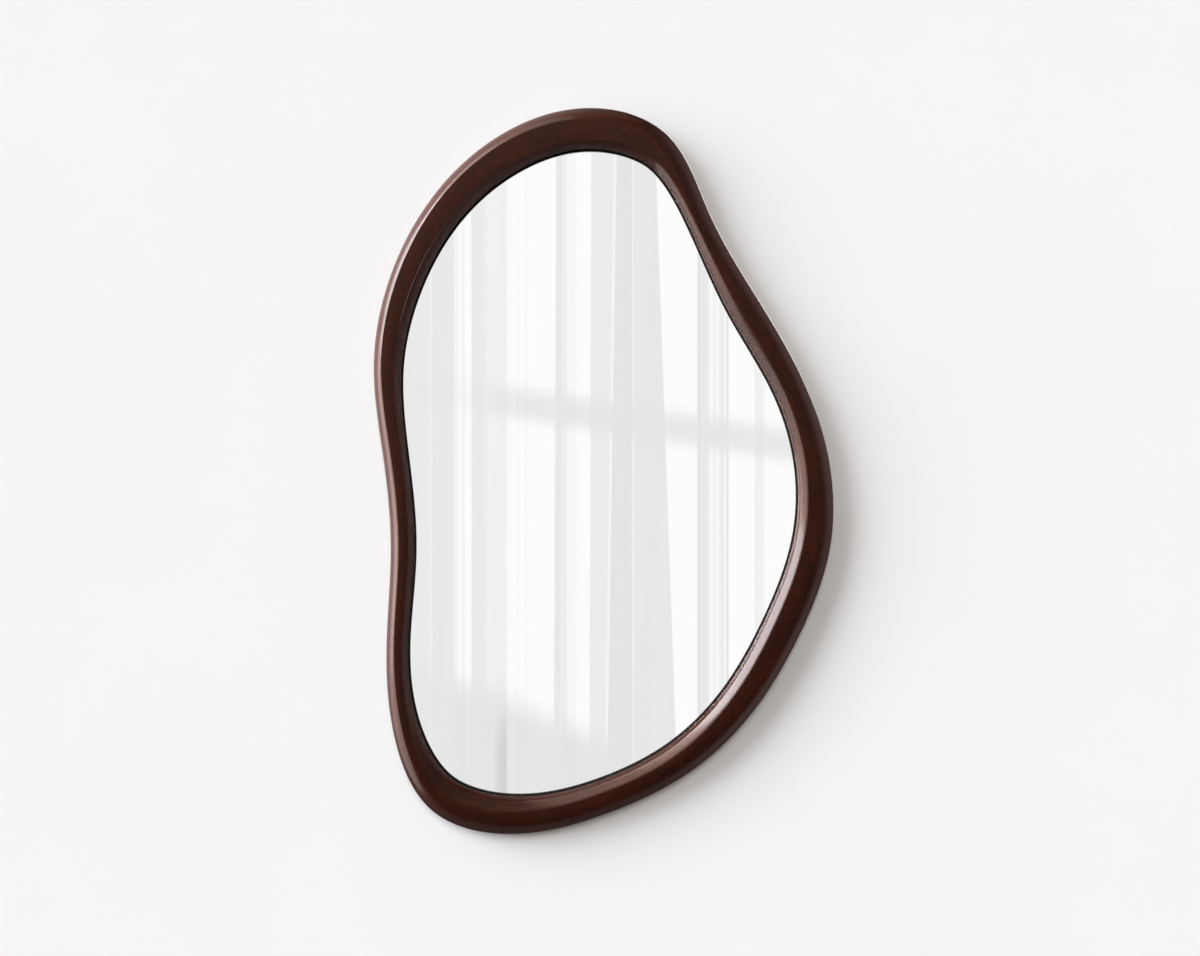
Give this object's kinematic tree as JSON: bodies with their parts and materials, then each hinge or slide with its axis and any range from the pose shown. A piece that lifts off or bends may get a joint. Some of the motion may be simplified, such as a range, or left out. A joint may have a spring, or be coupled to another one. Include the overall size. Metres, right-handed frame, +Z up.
{
  "type": "wall mirror",
  "caption": "Wall mirror in a free-form wavy frame of dark stained wood, with a backing board, two swinging hanger rings and rubber bumpers.",
  "frame": {"origin": "middle of the frame's outline, on the wall plane that the bumpers rest on", "axes": "+Z up, -Y out of the glass towards the room, +X to the right as seen from the room"},
  "size_m": [0.57, 0.035, 0.9],
  "materials": {
    "frame_wood": "dark red-brown stain under satin lacquer",
    "tenon_wood": "raw beech",
    "silvered_glass": "polished",
    "film": "matte",
    "foam_tape": "matte",
    "clear_rubber": "clear, satin",
    "board": "raw fibreboard",
    "zinc_steel": "zinc plated"
  },
  "bodies": {
    "mirror": {"frame_upper_right": "frame_wood", "frame_right": "frame_wood", "frame_lower_right": "frame_wood", "frame_bottom_left": "frame_wood", "frame_lower_left": "frame_wood", "frame_upper_left": "frame_wood", "frame_top": "frame_wood", "tenon_top_right": "tenon_wood", "tenon_right": "tenon_wood", "tenon_lower_right": "tenon_wood", "tenon_bottom": "tenon_wood", "tenon_lower_left": "tenon_wood", "tenon_left": "tenon_wood", "tenon_top_left": "tenon_wood", "mirror_glass": "silvered_glass", "safety_film": "film", "glazing_tape": "foam_tape", "edge_cushion_right": "clear_rubber", "edge_cushion_bottom_right": "clear_rubber", "edge_cushion_bottom_left": "clear_rubber", "edge_cushion_left": "clear_rubber", "back_board": "board", "board_screws": "zinc_steel", "hanger_strap_left": "zinc_steel", "hanger_strap_right": "zinc_steel", "hanger_screws": "zinc_steel", "bumper_top_right": "clear_rubber", "bumper_bottom_right": "clear_rubber", "bumper_bottom_left": "clear_rubber", "bumper_top_left": "clear_rubber"},
    "ring_left": {"hanger_ring_left": "zinc_steel"},
    "ring_right": {"hanger_ring_right": "zinc_steel"}
  },
  "joints": [
    {"name": "ring_left_swing", "type": "hinge", "parent": "mirror", "child": "ring_left", "pos_m": [-0.26281, -0.00285, 0.20184], "axis": [-0.9719, 0, 0.2355], "range_deg": [0, 175]},
    {"name": "ring_right_swing", "type": "hinge", "parent": "mirror", "child": "ring_right", "pos_m": [0.18378, -0.00285, 0.19969], "axis": [-0.851, 0, -0.5252], "range_deg": [0, 175]}
  ]
}
